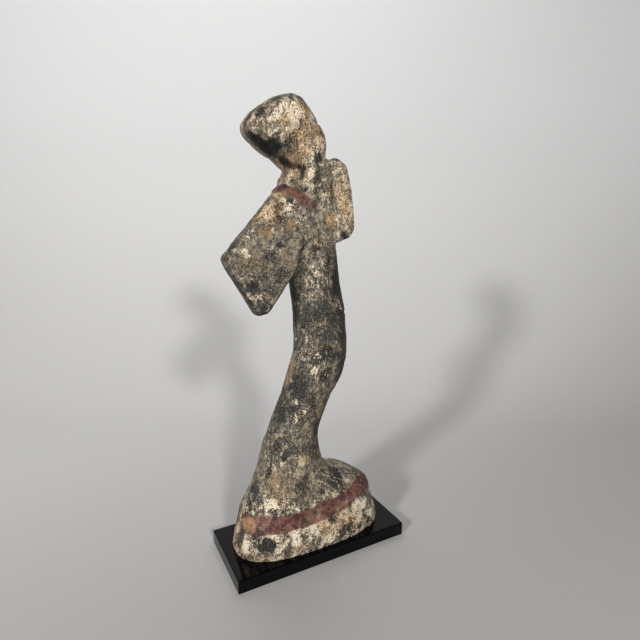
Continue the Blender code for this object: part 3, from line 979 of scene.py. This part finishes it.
def painted_face(tree, ground, breaks):
    """An even wash of slip and thin brush strokes on the face, half worn away.  A stroke is an
    ellipse bent along a parabola, the same on both sides of the face.  Flakes eat into its edge."""
    face = node(tree, "ShaderNodeAttribute", attribute_name="face").outputs["Vector"]
    across, height, front = node(tree, "ShaderNodeSeparateXYZ", {0: face}).outputs
    side = node(tree, "ShaderNodeMath", {0: across}, operation="ABSOLUTE")
    ground = coated(tree, ground, ((linear("#CDBB9C"), front, 0.0, 1.0, 0.45),))
    for middle, level, bend, half_length, half_width, share, colour in FACE_STROKES:
        off = node(tree, "ShaderNodeMath", {0: side, 1: middle}, operation="SUBTRACT")
        square = node(tree, "ShaderNodeMath", {0: off, 1: off}, operation="MULTIPLY")
        rise = node(tree, "ShaderNodeMath", {0: height, 1: level}, operation="SUBTRACT")
        rise = node(tree, "ShaderNodeMath", {0: square, 1: bend, 2: rise}, operation="MULTIPLY_ADD")
        rise = node(tree, "ShaderNodeMath", {0: rise, 1: half_length / half_width}, operation="MULTIPLY")
        ring = node(tree, "ShaderNodeMath", {0: rise, 1: rise, 2: square}, operation="MULTIPLY_ADD")
        reach = half_length**2
        worn = node(tree, "ShaderNodeMath", {0: breaks, 1: reach * 1.6, 2: ring}, operation="MULTIPLY_ADD")
        inside = node(tree, "ShaderNodeMapRange", {
            "Value": worn, "From Min": reach * 2.0, "From Max": reach * 1.5,
        }, interpolation_type="SMOOTHSTEP")
        amount = node(tree, "ShaderNodeMath", {0: inside, 1: front}, operation="MULTIPLY")
        ground = coated(tree, ground, ((linear(colour), amount, 0.0, 1.0, share),))
    return ground


def black_acrylic():
    """Cast acrylic sheet, flame-polished: deep black with a mirror gloss, a little grey dust, and
    smears that only show in the reflections."""
    material, tree = new_material("black_acrylic")
    place_on = node(tree, "ShaderNodeTexCoord").outputs["Object"]
    # smears 25 mm across, and specks of dust two thirds of a millimetre, coarser than real ones,
    # which would not show
    smears = node(tree, "ShaderNodeTexNoise", {
        "Vector": place_on, "Scale": 1 / (25 * MILLIMETRE), "Detail": 4.0,
    })
    dust = node(tree, "ShaderNodeTexNoise", {
        "Vector": place_on, "Scale": 1 / (2 / 3 * MILLIMETRE), "Detail": 1.0,
    })
    colour = coated(tree, linear("#040405"), ((linear("#2E2C2A"), dust, 0.70, 0.78, 1.0),))
    roughness = node(tree, "ShaderNodeMapRange", {
        "Value": smears, "From Min": 0.35, "From Max": 0.7, "To Min": 0.035, "To Max": 0.10,
    })
    shader = node(tree, "ShaderNodeBsdfPrincipled", {
        "Base Color": colour, "Roughness": roughness, "IOR": 1.49, "Specular IOR Level": 0.15,
    })
    node(tree, "ShaderNodeOutputMaterial", {"Surface": shader})
    return material


def matt_paper():
    """Matt studio paper: pale, with a painted grade of shade and light, darker on the floor than the wall.
    """
    material, tree = new_material("matt_paper")
    place_on = node(tree, "ShaderNodeTexCoord").outputs["Object"]
    _, depth, height = node(tree, "ShaderNodeSeparateXYZ", {0: place_on}).outputs
    # painted shade and light: paler from the near floor to the far floor, then up the wall, in metres
    colour = coated(tree, linear("#ABA8A5"), (
        (linear("#CCCBC9"), depth, -0.15, 0.37, 1.0),
        (linear("#E6E6E6"), height, 0.0, 0.6, 1.0),
    ))
    shader = node(tree, "ShaderNodeBsdfPrincipled", {"Base Color": colour, "Roughness": 0.9})
    node(tree, "ShaderNodeOutputMaterial", {"Surface": shader})
    return material


def paper_sweep():
    """Seamless paper: a floor, a quarter circle and a wall as one profile, carried sideways and
    turned to face the camera."""
    run = np.linspace(0, 1, 60)
    bend = np.linspace(0, math.pi / 2, 40)
    rise = np.linspace(SWEEP_RADIUS, SWEEP_HEIGHT, 30)
    foot = SWEEP_BACK - SWEEP_RADIUS
    floor = np.stack([-SWEEP_FRONT + run * (foot + SWEEP_FRONT), 0 * run], axis=1)
    curve = np.stack([
        foot + SWEEP_RADIUS * np.sin(bend), SWEEP_RADIUS - SWEEP_RADIUS * np.cos(bend),
    ], axis=1)
    wall = np.stack([np.full(len(rise), SWEEP_BACK), rise], axis=1)
    profile = np.concatenate([floor, curve[1:], wall[1:]])
    side = np.linspace(-SWEEP_HALF_WIDTH, SWEEP_HALF_WIDTH, 20)
    x, row = np.meshgrid(side, np.arange(len(profile)))
    points = np.stack([x.ravel(), profile[row.ravel(), 0], profile[row.ravel(), 1]], axis=1)
    points = points @ np.array(Matrix.Rotation(-math.radians(CAMERA_YAW), 3, "Z")).T
    i, j = np.meshgrid(np.arange(len(profile) - 1), np.arange(len(side) - 1), indexing="ij")
    here = (i * len(side) + j).ravel()
    faces = np.stack([here, here + 1, here + 1 + len(side), here + len(side)], axis=1)
    sweep = place("paper_sweep", points, faces.tolist())
    sweep.data.materials.append(matt_paper())
    sweep.data.polygons.foreach_set("use_smooth", np.ones(len(faces), bool))


def soft_light(name, spot, aim, size, power, spread):
    """A square softbox at a spot, turned to its aim."""
    lamp = bpy.data.lights.new(name, "AREA")
    lamp.shape = "SQUARE"
    lamp.size = size
    lamp.energy = power
    lamp.spread = math.radians(spread)
    box = bpy.data.objects.new(name, lamp)
    box.location = spot
    box.rotation_euler = (Vector(aim) - Vector(spot)).to_track_quat("-Z", "Y").to_euler()
    bpy.context.scene.collection.objects.link(box)


def set_camera():
    """The photograph's view: behind the figure's left side, a little above the shoulders."""
    lens = bpy.data.cameras.new("camera")
    lens.sensor_width = SENSOR_WIDTH
    lens.lens = FOCAL_SHARE * SENSOR_WIDTH
    lens.clip_start = 0.01
    camera = bpy.data.objects.new("camera", lens)
    yaw, dip, roll = (math.radians(a) for a in (CAMERA_YAW, CAMERA_DIP, CAMERA_ROLL))
    ahead = Vector((math.sin(yaw) * math.cos(dip), math.cos(yaw) * math.cos(dip), -math.sin(dip)))
    turn = ahead.to_track_quat("-Z", "Y").to_matrix() @ Matrix.Rotation(-roll, 3, "Z")
    camera.matrix_world = Matrix.Translation(CAMERA_PLACE) @ turn.to_4x4()
    bpy.context.scene.collection.objects.link(camera)
    bpy.context.scene.camera = camera


def set_room():
    """A faint, even, slightly cool light from all round."""
    world = bpy.data.worlds.new("room")
    world.use_nodes = True
    background = world.node_tree.nodes["Background"]
    background.inputs["Color"].default_value = linear(ROOM_COLOUR)
    background.inputs["Strength"].default_value = ROOM_STRENGTH
    bpy.context.scene.world = world


def make_dancer():
    """The figure: its clay, the relief pressed into it, the layers of paint and its material."""
    clay, mesh = fused_clay()
    points, normals = press_relief(mesh)
    paint_layers(mesh, points, normals)
    mesh.polygons.foreach_set("use_smooth", np.ones(len(mesh.polygons), bool))
    mesh.materials.clear()
    mesh.materials.append(painted_earthenware())
    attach(clay, "root")
    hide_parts("dancer")


set_camera()
make_dancer()
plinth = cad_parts["plinth"]
plinth.material_slots[0].material = black_acrylic()
paper_sweep()
for row in LAMPS:
    soft_light(*row)
set_room()
bpy.context.scene.view_settings.view_transform = "Standard"
